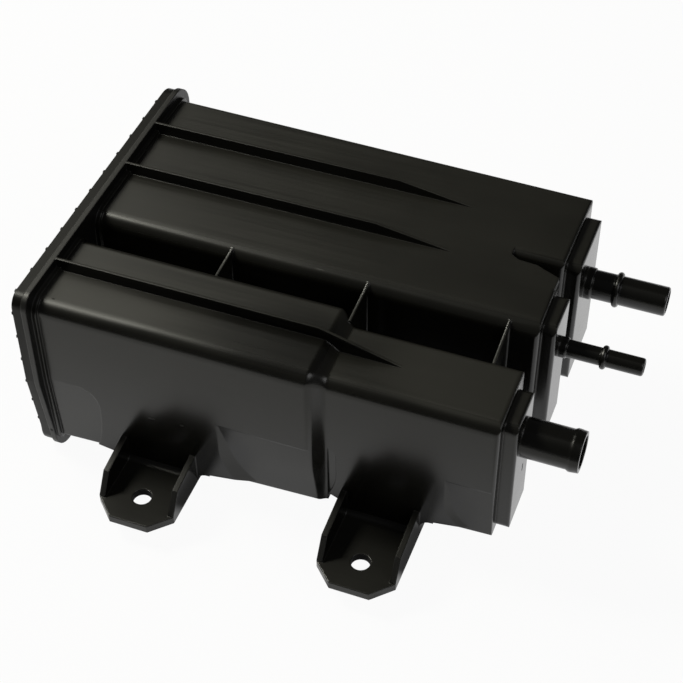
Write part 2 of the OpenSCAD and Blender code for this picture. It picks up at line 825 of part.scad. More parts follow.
// holes of a pressure plate on a square pitch, clear of the spring seats at y
module plate_holes(y, columns) {
    z_mid = (spring_z[0] + spring_z[1]) / 2;
    for (i = [0:columns - 1])
        for (j = [-3:3]) {
            dy = (i - (columns - 1) / 2) * plate_pitch;
            z = z_mid + j * plate_pitch;
            if (min(norm([dy, z - spring_z[0]]), norm([dy, z - spring_z[1]])) > seat_r + plate_hole_d / 2)
                translate([x_plate - 1, y + dy, z])
                    rotate([0, 90, 0])
                        cylinder(d = plate_hole_d, h = plate_t + 2);
        }
}

// pressure plate made from a chamber's outline, with holes, spring seats and pegs at y
module pressure_plate(y, columns) {
    color("#c9c5b8") {
        difference() {
            children();
            plate_holes(y, columns);
        }
        for (z = spring_z) {
            spring_disc(x_plate - seat_rise, x_plate + plate_t / 2, y, z, seat_r);
            spring_disc(x_plate - peg_len, x_plate + plate_t / 2, y, z, peg_r);
        }
    }
}

module rear_pressure_plate() {
    pressure_plate(rear_spring_y, 4)
        rear_inside(x_plate, x_pad, bed_gap);
}

module middle_pressure_plate() {
    pressure_plate(middle_spring_y, 4)
        middle_inside(x_plate, x_pad, bed_gap);
}

module front_pressure_plate() {
    pressure_plate(front_spring_y, 4)
        front_inside(x_plate, x_pad, bed_gap);
}

// height of the wire's centre after a number of turns: flat for half a turn at each end
function coil_rise(turn, rise) = rise * max(0, min(1, (turn - 0.5) / spring_turns));

// rings of points round the wire, along the coil
function coil_points(r, rise, rings, sides) = [for (i = [0:rings])
    let (turn = i * (spring_turns + 1) / rings, a = 360 * turn)
    for (j = [0:sides - 1])
        let (b = 360 * j / sides, reach = r + wire_d / 2 * cos(b))
        [reach * cos(a), reach * sin(a), coil_rise(turn, rise) + wire_d / 2 * (1 + sin(b))]];

// facets between neighbouring rings, two for each side
function coil_faces(rings, sides) = [for (i = [0:rings - 1]) for (j = [0:sides - 1])
    let (k = (j + 1) % sides)
    for (half = [[i * sides + j, (i + 1) * sides + k, (i + 1) * sides + j],
        [i * sides + j, i * sides + k, (i + 1) * sides + k]]) half];

// coil spring between the cover and a pressure plate, with flat end turns
module coil_spring(y, z) {
    rings = 12 * (spring_turns + 1);
    sides = 6;
    ends = [[for (j = [0:sides - 1]) j], [for (j = [0:sides - 1]) rings * sides + sides - 1 - j]];
    color("#b9bcbe")
        translate([x_plenum, y, z])
            rotate([0, 90, 0])
                polyhedron(coil_points(spring_d / 2, x_plate - seat_rise - x_plenum - wire_d, rings, sides),
                    concat(ends, coil_faces(rings, sides)));
}

module rear_upper_spring() {
    coil_spring(rear_spring_y, spring_z[1]);
}

module rear_lower_spring() {
    coil_spring(rear_spring_y, spring_z[0]);
}

module middle_upper_spring() {
    coil_spring(middle_spring_y, spring_z[1]);
}

module middle_lower_spring() {
    coil_spring(middle_spring_y, spring_z[0]);
}

module front_upper_spring() {
    coil_spring(front_spring_y, spring_z[1]);
}

module front_lower_spring() {
    coil_spring(front_spring_y, spring_z[0]);
}

canister_body();
end_cover();
rear_carbon_bed();
middle_carbon_bed();
front_carbon_bed();
rear_port_filter();
middle_port_filter();
front_port_filter();
rear_cover_filter();
middle_cover_filter();
front_cover_filter();
rear_pressure_plate();
middle_pressure_plate();
front_pressure_plate();
rear_upper_spring();
rear_lower_spring();
middle_upper_spring();
middle_lower_spring();
front_upper_spring();
front_lower_spring();
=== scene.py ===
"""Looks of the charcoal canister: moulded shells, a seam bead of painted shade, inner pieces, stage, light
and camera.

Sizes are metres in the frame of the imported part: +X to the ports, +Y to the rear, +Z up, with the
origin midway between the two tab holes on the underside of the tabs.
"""

import logging
import math
from dataclasses import dataclass
from enum import Enum
from typing import Optional, Union

import bmesh
import bpy
from mathutils import Matrix, Vector


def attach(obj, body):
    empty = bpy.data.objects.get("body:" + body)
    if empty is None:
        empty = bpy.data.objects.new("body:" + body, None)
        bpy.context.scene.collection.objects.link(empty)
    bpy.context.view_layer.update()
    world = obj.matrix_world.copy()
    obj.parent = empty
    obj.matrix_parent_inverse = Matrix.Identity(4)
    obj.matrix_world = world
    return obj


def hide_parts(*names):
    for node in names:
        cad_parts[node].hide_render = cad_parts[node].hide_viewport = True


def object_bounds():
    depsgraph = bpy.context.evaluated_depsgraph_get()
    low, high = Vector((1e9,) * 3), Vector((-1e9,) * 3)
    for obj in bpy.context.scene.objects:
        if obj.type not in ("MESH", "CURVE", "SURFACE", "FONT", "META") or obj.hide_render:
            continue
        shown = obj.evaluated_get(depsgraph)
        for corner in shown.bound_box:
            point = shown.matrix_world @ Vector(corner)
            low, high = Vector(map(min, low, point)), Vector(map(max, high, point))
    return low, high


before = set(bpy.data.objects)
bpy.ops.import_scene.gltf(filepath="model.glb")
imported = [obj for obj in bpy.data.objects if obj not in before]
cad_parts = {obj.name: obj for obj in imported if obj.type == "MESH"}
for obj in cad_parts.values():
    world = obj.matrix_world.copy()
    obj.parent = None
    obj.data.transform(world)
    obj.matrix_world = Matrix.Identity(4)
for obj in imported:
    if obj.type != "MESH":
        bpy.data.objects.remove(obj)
CAD_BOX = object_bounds()

MM = 0.001
BODY = "root"
LOG = logging.getLogger("canister")

Colour = tuple[float, float, float]
Point = tuple[float, float, float]
Number = Union[int, float]

WHITE: Colour = (1.0, 1.0, 1.0)
WARM: Colour = (1.0, 0.985, 0.87)


class Value:
    """A shader socket that carries one number, with operators that add Math nodes."""

    def __init__(self, shader: "Shader", socket: bpy.types.NodeSocket) -> None:
        """Keep the socket and the shader that it belongs to."""
        self.shader = shader
        self.socket = socket

    def _math(self, operation: str, *terms: Union["Value", Number]) -> "Value":
        """Add one Math node.

        Args:
            operation: Blender's name of the operation.
            terms: the operands, in order.

        Returns:
            The node's result.
        """
        return self.shader.value("ShaderNodeMath", {"operation": operation}, dict(enumerate(terms)))

    def __add__(self, other: Union["Value", Number]) -> "Value":
        """Sum."""
        return self._math("ADD", self, other)

    __radd__ = __add__

    def __mul__(self, other: Union["Value", Number]) -> "Value":
        """Product."""
        return self._math("MULTIPLY", self, other)

    __rmul__ = __mul__

    def __sub__(self, other: Union["Value", Number]) -> "Value":
        """Difference."""
        return self._math("SUBTRACT", self, other)

    def __rsub__(self, other: Number) -> "Value":
        """Difference from a number."""
        return self._math("SUBTRACT", other, self)

    def __pow__(self, other: Number) -> "Value":
        """Power."""
        return self._math("POWER", self, other)

    def __abs__(self) -> "Value":
        """Size without sign."""
        return self._math("ABSOLUTE", self)

    def either(self, other: Union["Value", Number]) -> "Value":
        """The larger of two values."""
        return self._math("MAXIMUM", self, other)

    def ramp(self, low: float, high: float) -> "Value":
        """Smooth step from 0 at low to 1 at high.

        Args:
            low: the value at which the step starts.
            high: the value at which it ends; below low the step is turned round.

        Returns:
            The stepped value.
        """
        start, end = (0.0, 1.0) if low < high else (1.0, 0.0)
        span = {"From Min": min(low, high), "From Max": max(low, high), "To Min": start, "To Max": end}
        smooth = {"interpolation_type": "SMOOTHSTEP"}
        return self.shader.value("ShaderNodeMapRange", smooth, {"Value": self, **span})


class Shader:
    """Nodes of a material or of the world under construction."""

    def __init__(self, owner: Union[bpy.types.Material, bpy.types.World]) -> None:
        """Empty the node tree of a material or of the world.

        Args:
            owner: the material or world to build.
        """
        self.owner = owner
        owner.use_nodes = True
        self.tree = owner.node_tree
        self.tree.nodes.clear()

    def node(self, kind: str, settings: dict, sockets: dict) -> bpy.types.Node:
        """Add any node.

        Args:
            kind: Blender's name of the node type.
            settings: properties of the node, set first.
            sockets: values or links of its inputs, by name or index.

        Returns:
            The new node.
        """
        made = self.tree.nodes.new(kind)
        for key, setting in settings.items():
            setattr(made, key, setting)
        for key, given in sockets.items():
            if isinstance(given, Value):
                given = given.socket
            if isinstance(given, bpy.types.NodeSocket):
                self.tree.links.new(given, made.inputs[key])
            else:
                made.inputs[key].default_value = given
        return made

    def value(self, kind: str, settings: dict, sockets: dict, output: Union[str, int] = 0) -> Value:
        """Add a node and wrap one of its outputs; the arguments are those of node()."""
        return Value(self, self.node(kind, settings, sockets).outputs[output])

    def place(self, scale: Point = (1.0, 1.0, 1.0)) -> bpy.types.NodeSocket:
        """Object coordinates in metres.

        Args:
            scale: factor along each axis.

        Returns:
            The scaled coordinates.
        """
        at = self.node("ShaderNodeTexCoord", {}, {}).outputs["Object"]
        if scale == (1.0, 1.0, 1.0):
            return at
        return self.node("ShaderNodeMapping", {}, {"Vector": at, "Scale": scale}).outputs[0]

    def noise(self, scale: Point, detail: float = 3.0, rough: float = 0.5) -> Value:
        """Fractal noise from 0 to 1.

        Args:
            scale: cells per metre along each axis.
            detail: octaves of the noise.
            rough: share that each octave keeps.

        Returns:
            The noise value.
        """
        sockets = {"Vector": self.place(scale), "Scale": 1.0, "Detail": detail, "Roughness": rough}
        return self.value("ShaderNodeTexNoise", {}, sockets)

    def round_normal(self, radius: float) -> bpy.types.NodeSocket:
        """Surface normal with the edges eased by a radius in metres."""
        return self.node("ShaderNodeBevel", {"samples": 6}, {"Radius": radius}).outputs[0]

    def along(self, axis: int) -> Value:
        """Object coordinate along axis 0, 1 or 2, in metres."""
        return self.value("ShaderNodeSeparateXYZ", {}, {0: self.place()}, axis)

    def facing(self, axis: int) -> Value:
        """How far the surface faces along an axis, from -1 to 1.

        Args:
            axis: 0, 1 or 2 for X, Y or Z.

        Returns:
            That part of the normal.
        """
        normal = self.node("ShaderNodeNewGeometry", {}, {}).outputs["Normal"]
        return self.value("ShaderNodeSeparateXYZ", {}, {0: normal}, axis)

    def blend(self, share: Value, low: Colour, high: Colour) -> bpy.types.NodeSocket:
        """Mix of two colours.

        Args:
            share: 0 for the first colour, 1 for the second.
            low: the first colour.
            high: the second colour.

        Returns:
            The mixed colour.
        """
        sockets = {"Factor": share, 6: (*low, 1.0), 7: (*high, 1.0)}
        return self.node("ShaderNodeMix", {"data_type": "RGBA"}, sockets).outputs[2]

    def bump(
        self, height: Value, depth: float, normal: Optional[bpy.types.NodeSocket] = None
    ) -> bpy.types.NodeSocket:
        """Bumped normal.

        Args:
            height: relief from 0 to 1.
            depth: height of the relief in metres.
            normal: normal under the relief, if it isn't the surface's own.

        Returns:
            The new normal.
        """
        sockets = {"Height": height, "Distance": depth, "Strength": 1.0}
        if normal is not None:
            sockets["Normal"] = normal
        return self.node("ShaderNodeBump", {}, sockets).outputs[0]

    def surface(self, sockets: dict) -> bpy.types.Material:
        """Close the material with one Principled shader.

        Args:
            sockets: values or links of the shader's inputs.

        Returns:
            The finished material.
        """
        plain = self.node("ShaderNodeBsdfPrincipled", {}, sockets)
        self.node("ShaderNodeOutputMaterial", {}, {"Surface": plain.outputs[0]})
        return self.owner


@dataclass(frozen=True)
class Mark:
    """A speck or rub on the moulding, or a soft patch where light or shade is painted."""

    at: Point
    reach: Point
    tone: float = 0.0
    rough: float = 0.0
    relief: float = 0.0

    def mask(self, shader: Shader) -> Value:
        """Mask of the mark.

        Args:
            shader: the material under construction.

        Returns:
            1 in the middle of the mark, 0 outside its reach.
        """
        stretch = tuple(1.0 / reach for reach in self.reach)
        centre = tuple(place * factor for place, factor in zip(self.at, stretch))
        pair = {0: shader.place(stretch), 1: centre}
        away = shader.value("ShaderNodeVectorMath", {"operation": "DISTANCE"}, pair, "Value")
        return away.ramp(1.0, 0.4)


@dataclass(frozen=True)
class Zones:
    """Masks of a moulding's areas, each from 0 to 1."""

    upward: Value
    edge: Value
    rim: Value
    top: Value
    low: Value
    ports: Value
    lined: Value


@dataclass(frozen=True)
class MouldedPlastic:
    """Black injection-moulded plastic with flow streaks on its tops and a few marks, and with painted light
    and shade.

    The places that bound its areas are along X, except low_to, which is a height.
    """

    name: str
    deep: Colour
    pale: Colour
    roughness: float
    top_rough: float
    streak_rough: float
    rim_rough: float
    edge_rough: float
    edge_radius: float
    low_to: float
    refraction: float = 1.5
    marks: tuple[Mark, ...] = ()
    rim_to: float = -123.0 * MM
    top_to: float = 126.0 * MM
    port_from: float = 128.5 * MM
    lines_from: float = -60.0 * MM
    lines_to: float = 80.0 * MM
    streak_cells: Point = (7.0, 420.0, 420.0)
    cloud_cells: Point = (22.0, 30.0, 30.0)
    grain_cells: Point = (2600.0, 2600.0, 2600.0)
    relief_depth: float = 0.008 * MM
    tone_span: tuple[float, float] = (0.15, 1.1)

    def build(self) -> bpy.types.Material:
        """Make the material.

        Returns:
            The finished material.
        """
        shader = Shader(bpy.data.materials.new(self.name))
        streak = shader.noise(self.streak_cells, detail=4.0, rough=0.6)
        cloud = shader.noise(self.cloud_cells, detail=2.0)
        grain = shader.noise(self.grain_cells, detail=2.0)
        zones = self.zones(shader)
        tone = self.tone(zones, streak, cloud)
        rough = self.rough(zones, streak, cloud)
        relief = grain * 0.5 + streak * (0.1 + zones.upward * (0.1 + zones.lined * 0.3))
        for mark in self.marks:
            mask = mark.mask(shader)
            tone = tone + mask * mark.tone
            rough = rough + mask * mark.rough
            relief = relief + mask * mark.relief
        return shader.surface({
            "Base Color": shader.blend(tone.ramp(*self.tone_span), self.deep, self.pale),
            "Roughness": rough,
            "IOR": self.refraction,
            "Normal": shader.bump(relief, self.relief_depth, shader.round_normal(self.edge_radius)),
        })

    def zones(self, shader: Shader) -> Zones:
        """Masks of the areas that differ in tone or gloss.

        Args:
            shader: the material under construction.

        Returns:
            The masks.
        """
        up = shader.facing(2)
        along = shader.along(0)
        upward = up.ramp(0.90, 0.995)
        rim = along.ramp(self.rim_to, self.rim_to - 0.4 * MM)
        low = shader.along(2).ramp(self.low_to + 4 * MM, self.low_to)
        return Zones(
            upward=upward,
            edge=up.ramp(0.2, 0.5) * up.ramp(0.97, 0.88),
            rim=rim,
            top=upward * (1 - rim) * along.ramp(self.top_to + 2 * MM, self.top_to),
            low=low,
            ports=along.ramp(self.port_from, self.port_from + 1 * MM),
            lined=along.ramp(self.lines_to, self.lines_from) * (1 - low),
        )

    @staticmethod
    def tone(zones: Zones, streak: Value, cloud: Value) -> Value:
        """How pale the plastic is: clouded, streaked with some painted sheen, painted light on top, painted
        shade on the ports and below, and a deeper tone at the flange end.

        Args:
            zones: masks of the areas.
            streak: noise drawn out along the part.
            cloud: broad noise.

        Returns:
            The tone before it is spread from deep to pale.
        """
        # Flow streaks, strongest towards the left, where their tone also stands in for painted sheen.
        streaks_and_painted_sheen = (streak - 0.5) * (0.12 + zones.lined * 0.58)
        # A deeper tone at the flange end; painted shade on the ports and on the low parts, such as the tab
        # plates.
        darker_flange_and_painted_shade = (zones.rim + zones.ports) * 0.5 + zones.low * 0.15
        # The tops are paler: painted light.
        return streaks_and_painted_sheen + cloud * 0.40 + zones.upward * 0.20 + 0.32 - darker_flange_and_painted_shade

    def rough(self, zones: Zones, streak: Value, cloud: Value) -> Value:
        """How dull the plastic is: duller on the tops, the rim and the rounded edges.

        Args:
            zones: masks of the areas.
            streak: noise drawn out along the part.
            cloud: broad noise.

        Returns:
            The roughness without the marks.
        """
        drawn = streak - 0.5
        top = zones.top * (self.top_rough + drawn * (0.2 + zones.lined * 0.8) * self.streak_rough)
        rim = zones.rim * (self.rim_rough + drawn * 0.2)
        edge = zones.edge * (1 + zones.low * 1.6) * self.edge_rough
        return self.roughness + top + rim + edge + (cloud - 0.5) * 0.05


@dataclass(frozen=True)
class CarbonPellets:
    """Packed extruded pellets of activated carbon, with painted shade in the gaps between them."""

    name: str
    deep: Colour
    pale: Colour
    pellet: float

    def build(self) -> bpy.types.Material:
        """Make the material.

        Returns:
            The finished material.
        """
        shader = Shader(bpy.data.materials.new(self.name))
        cells = {"Vector": shader.place(), "Scale": 1.0 / self.pellet}
        lump = shader.value("ShaderNodeTexVoronoi", {"feature": "F1"}, cells, "Distance")
        dust = shader.noise((900.0, 900.0, 900.0))
        return shader.surface({
            # Deeper away from each pellet's middle: painted shade in the gaps between pellets.
            "Base Color": shader.blend((dust * 0.6 + lump * 0.4).ramp(0.2, 0.8), self.pale, self.deep),
            "Roughness": 0.78 + dust * 0.15,
            "Normal": shader.bump(1 - lump, 0.8 * MM),
        })


@dataclass(frozen=True)
class Fleece:
    """Needled fleece or open foam of the filter pads."""

    name: str
    deep: Colour
    pale: Colour
    fibre: float

    def build(self) -> bpy.types.Material:
        """Make the material.

        Returns:
            The finished material.
        """
        shader = Shader(bpy.data.materials.new(self.name))
        across = shader.noise((0.3 / self.fibre, 1.0 / self.fibre, 0.25 / self.fibre), detail=5.0, rough=0.7)
        upright = shader.noise((0.3 / self.fibre, 0.25 / self.fibre, 1.0 / self.fibre), detail=5.0, rough=0.7)
        nap = across.either(upright)
        return shader.surface({
            "Base Color": shader.blend(nap.ramp(0.3, 0.75), self.deep, self.pale),
            "Roughness": 0.86 + nap * 0.1,
            "Normal": shader.bump(nap, 0.5 * MM),
        })


@dataclass(frozen=True)
class NaturalPlastic:
    """Undyed plastic of the pressure plates."""

    name: str
    deep: Colour
    pale: Colour

    def build(self) -> bpy.types.Material:
        """Make the material.

        Returns:
            The finished material.
        """
        shader = Shader(bpy.data.materials.new(self.name))
        cloud = shader.noise((60.0, 60.0, 60.0))
        grain = shader.noise((1800.0, 1800.0, 1800.0))
        return shader.surface({
            "Base Color": shader.blend(cloud.ramp(0.25, 0.75), self.deep, self.pale),
            "Roughness": 0.42 + cloud * 0.12,
            "Normal": shader.bump(grain, 0.02 * MM, shader.round_normal(0.4 * MM)),
        })


@dataclass(frozen=True)
class SpringWire:
    """Drawn spring steel."""

    name: str
    deep: Colour
    pale: Colour

    def build(self) -> bpy.types.Material:
        """Make the material.

        Returns:
            The finished material.
        """
        shader = Shader(bpy.data.materials.new(self.name))
        drawn = shader.noise((1500.0, 200.0, 200.0), detail=4.0)
        return shader.surface({
            "Base Color": shader.blend(drawn.ramp(0.3, 0.7), self.deep, self.pale),
            "Metallic": 1.0,
            "Roughness": 0.24 + drawn * 0.2,
            "Normal": shader.bump(drawn, 0.01 * MM),
        })


@dataclass(frozen=True)
class SeamShadeFinish:
    """Dark matt bead along the seam between the body and the cover: painted shade of the groove there."""

    name: str
    deep: Colour
    pale: Colour

    def build(self) -> bpy.types.Material:
        """Make the material.

        Returns:
            The finished material.
        """
        shader = Shader(bpy.data.materials.new(self.name))
        lump = shader.noise((400.0, 400.0, 400.0))
        return shader.surface({
            "Base Color": shader.blend(lump.ramp(0.3, 0.7), self.deep, self.pale),
            "Roughness": 0.55 + lump * 0.2,
            "Normal": shader.bump(lump, 0.1 * MM),
        })


class Finish(Enum):
    """Finishes of the canister, each with the record's slot of the same name."""

    BODY = MouldedPlastic(
        "black_moulding",
        deep=(0.0030, 0.0029, 0.0022),
        pale=(0.0140, 0.0136, 0.0108),
        roughness=0.20,
        top_rough=0.15,
        streak_rough=0.24,
        rim_rough=0.22,
        low_to=21.0 * MM,
        edge_radius=1.1 * MM,
        edge_rough=0.09,
        marks=(
            Mark((-0.1148, 0.0305, 0.1030), (1.1 * MM, 0.6 * MM, 1.0 * MM), tone=-1.0, rough=0.5),
            Mark((0.0025, 0.0982, 0.1025), (3.8 * MM, 0.5 * MM, 1.2 * MM), tone=0.6, rough=0.1, relief=1.5),
            Mark((0.0850, 0.0295, 0.0662), (1.0 * MM, 4.0 * MM, 0.5 * MM), tone=6.0),
            Mark((0.0878, 0.0295, 0.0674), (0.7 * MM, 4.0 * MM, 0.6 * MM), tone=6.0),
            Mark((-0.0629, 0.0240, 0.0410), (3.0 * MM, 3.0 * MM, 0.5 * MM), tone=1.5, rough=0.2),
            Mark((-0.0457, 0.0240, 0.0423), (1.6 * MM, 3.0 * MM, 0.6 * MM), tone=1.5, rough=0.2),
            Mark((-0.1250, 0.0220, 0.0090), (1.0 * MM, 4.0 * MM, 1.2 * MM), tone=-1.0, rough=0.6),
            # Soft patches: painted highlight at the front chamber's top left, painted shade at its right,
            # painted light on its lower top.
            Mark((-0.1120, 0.0370, 0.1030), (78.0 * MM, 17.0 * MM, 6.0 * MM), tone=0.35, rough=0.18),
            Mark((0.0080, 0.0420, 0.1030), (60.0 * MM, 30.0 * MM, 3.0 * MM), tone=-0.45, rough=-0.06),
            Mark((0.1000, 0.0520, 0.0974), (60.0 * MM, 34.0 * MM, 3.0 * MM), tone=0.45, rough=0.06),
        ),
    )
    COVER = MouldedPlastic(
        "black_cover",
        deep=(0.0040, 0.0039, 0.0032),
        pale=(0.0090, 0.0087, 0.0068),
        roughness=0.26,
        top_rough=0.0,
        streak_rough=0.10,
        rim_rough=0.10,
        low_to=-20.0 * MM,
        edge_radius=0.8 * MM,
        edge_rough=0.0,
        refraction=1.30,
    )
    # Finish of the seam bead, deeper than the body's: painted shade of the groove between flange and cover.
    FLASH = SeamShadeFinish("seam_painted_shade", (0.0016, 0.0015, 0.0012), (0.0040, 0.0038, 0.0030))
    CARBON = CarbonPellets("carbon_pellets", (0.012, 0.012, 0.012), (0.045, 0.045, 0.043), 2.2 * MM)
    FLEECE = Fleece("white_fleece", (0.46, 0.45, 0.41), (0.72, 0.70, 0.64), 0.4 * MM)
    FOAM = Fleece("grey_foam", (0.13, 0.13, 0.12), (0.33, 0.33, 0.31), 0.8 * MM)
    PLATE = NaturalPlastic("natural_nylon", (0.50, 0.47, 0.40), (0.64, 0.61, 0.54))
    SPRING = SpringWire("spring_steel", (0.36, 0.37, 0.38), (0.60, 0.62, 0.63))

    @property
    def slot(self) -> str:
        """The record's slot of this finish."""
        return "cover" if self is Finish.FLASH else self.name.lower()


class NodeTree:
    """Geometry Nodes under construction, with named inputs for the sizes."""

    def __init__(self, name: str, sizes: dict[str, float]) -> None:
        """Start a tree.

        Args:
            name: name of the tree.
            sizes: its inputs and their values.
        """
        self.tree = bpy.data.node_groups.new(name, "GeometryNodeTree")
        self.sizes = sizes
        self.tree.interface.new_socket("Geometry", in_out="INPUT", socket_type="NodeSocketGeometry")
        self.tree.interface.new_socket("Geometry", in_out="OUTPUT", socket_type="NodeSocketGeometry")
        for size in sizes:
            self.tree.interface.new_socket(size, in_out="INPUT", socket_type="NodeSocketFloat")
        self.start = self.tree.nodes.new("NodeGroupInput")

    def given(self, name: str) -> bpy.types.NodeSocket:
        """One of the tree's inputs by its name."""
        return self.start.outputs[name]

    def node(self, kind: str, settings: dict, sockets: dict) -> bpy.types.Node:
        """Add any node.

        Args:
            kind: Blender's name of the node type.
            settings: properties of the node, set first.
            sockets: values or links of its inputs, by name or index.

        Returns:
            The new node.
        """
        made = self.tree.nodes.new(kind)
        for key, setting in settings.items():
            setattr(made, key, setting)
        for key, given in sockets.items():
            if isinstance(given, bpy.types.NodeSocket):
                self.tree.links.new(given, made.inputs[key])
            else:
                made.inputs[key].default_value = given
        return made

    def close(self, result: bpy.types.NodeSocket) -> None:
        """Join the result to the tree's output."""
        self.tree.links.new(result, self.tree.nodes.new("NodeGroupOutput").inputs[0])

    def apply(self, piece: bpy.types.Object) -> None:
        """Run the tree on a piece and keep the result as its plain mesh.

        Args:
            piece: the object whose mesh the tree takes and replaces.
        """
        modifier = piece.modifiers.new(self.tree.name, "NODES")
        modifier.node_group = self.tree
        for socket in self.tree.interface.items_tree:
            if socket.in_out == "INPUT" and socket.name in self.sizes:
                modifier[socket.identifier] = self.sizes[socket.name]
        shown = piece.evaluated_get(bpy.context.evaluated_depsgraph_get())
        piece.data = bpy.data.meshes.new_from_object(shown)
        piece.modifiers.clear()


class FinishStore:
    """Makes each finish once and lends it to the pieces."""

    def __init__(self) -> None:
        """Start with no material made."""
        self.made: dict[Finish, bpy.types.Material] = {}

    def material(self, finish: Finish) -> bpy.types.Material:
        """Material of a finish, made when it is first asked for.

        Args:
            finish: the finish.

        Returns:
            Its material.
        """
        if finish not in self.made:
            self.made[finish] = finish.value.build()
        return self.made[finish]

    def dress(self, piece: bpy.types.Object, finish: Finish) -> None:
        """Give a piece its finish.

        Args:
            piece: the object to dress.
            finish: the finish that it takes.
        """
        material = self.material(finish)
        piece.data.materials.clear()
        piece.data.materials.append(material)
        LOG.info("%s in %s", piece.name, material.name)


@dataclass(frozen=True)
class PadEdge:
    """End of a pad on the front wall, where the pad runs out softly."""

    face_y: float
    from_x: float
    to_x: float
    below_z: float = 49.0 * MM
    deepest: float = 5.0 * MM
    run_out: float = 4.0


FRONT_PADS = (
    PadEdge(face_y=23.0 * MM, from_x=-26.5 * MM, to_x=-17.0 * MM),
    PadEdge(face_y=28.6 * MM, from_x=94.0 * MM, to_x=103.5 * MM),
)


@dataclass
class MouldedShell:
    """A rigid moulding shown by a copy of its solid with smooth curves and flat faces kept flat."""

    node: str
    name: str
    finish: Finish
    pad_edges: tuple[PadEdge, ...] = ()
    weld: float = 0.002 * MM
    crease_deg: float = 32.0

    def build(self, store: FinishStore) -> bpy.types.Object:
        """Make the copy, hide the solid behind it and dress it.

        Args:
            store: lender of the finishes.

        Returns:
            The new piece.
        """
        piece = bpy.data.objects.new(self.name, self.smooth_mesh())
        bpy.context.scene.collection.objects.link(piece)
        self.weigh_normals(piece)
        store.dress(piece, self.finish)
        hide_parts(self.node)
        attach(piece, BODY)
        return piece

    def smooth_mesh(self) -> bpy.types.Mesh:
        """Copy the solid's mesh, join its triangles and mark its creases.

        Returns:
            The joined mesh.
        """
        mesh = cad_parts[self.node].data.copy()
        mesh.name = self.name
        work = bmesh.new()
        work.from_mesh(mesh)
        bmesh.ops.remove_doubles(work, verts=work.verts, dist=self.weld)
        for edge in self.pad_edges:
            self.run_out(work, edge)
        limit = math.radians(self.crease_deg)
        for face in work.faces:
            face.smooth = True
        for edge in work.edges:
            edge.smooth = edge.calc_face_angle(math.pi) < limit
        work.to_mesh(mesh)
        work.free()
        return mesh

    @staticmethod
    def run_out(work: bmesh.types.BMesh, edge: PadEdge) -> None:
        """Slide the foot of a pad's edge along the wall, so that the step becomes a slope.

        Args:
            work: the mesh under construction.
            edge: place of the pad's edge.
        """
        near = 0.02 * MM
        reach = [v for v in work.verts if edge.from_x < v.co.x < edge.to_x and v.co.z < edge.below_z]
        outer = [v.co.copy() for v in reach if abs(v.co.y - edge.face_y) < near]
        for vert in reach:
            depth = vert.co.y - edge.face_y
            apart = (max(abs(o.x - vert.co.x), abs(o.z - vert.co.z)) for o in outer)
            if near < depth < edge.deepest and min(apart, default=1.0) < near:
                vert.co.x += depth * edge.run_out

    @staticmethod
    def weigh_normals(piece: bpy.types.Object) -> None:
        """Turn the normals towards the larger faces and keep the result in the mesh.

        Args:
            piece: the object whose mesh is changed.
        """
        weighted = piece.modifiers.new("larger_faces", "WEIGHTED_NORMAL")
        weighted.keep_sharp = True
        weighted.weight = 80
        shown = piece.evaluated_get(bpy.context.evaluated_depsgraph_get())
        piece.data = bpy.data.meshes.new_from_object(shown)
        piece.modifiers.clear()


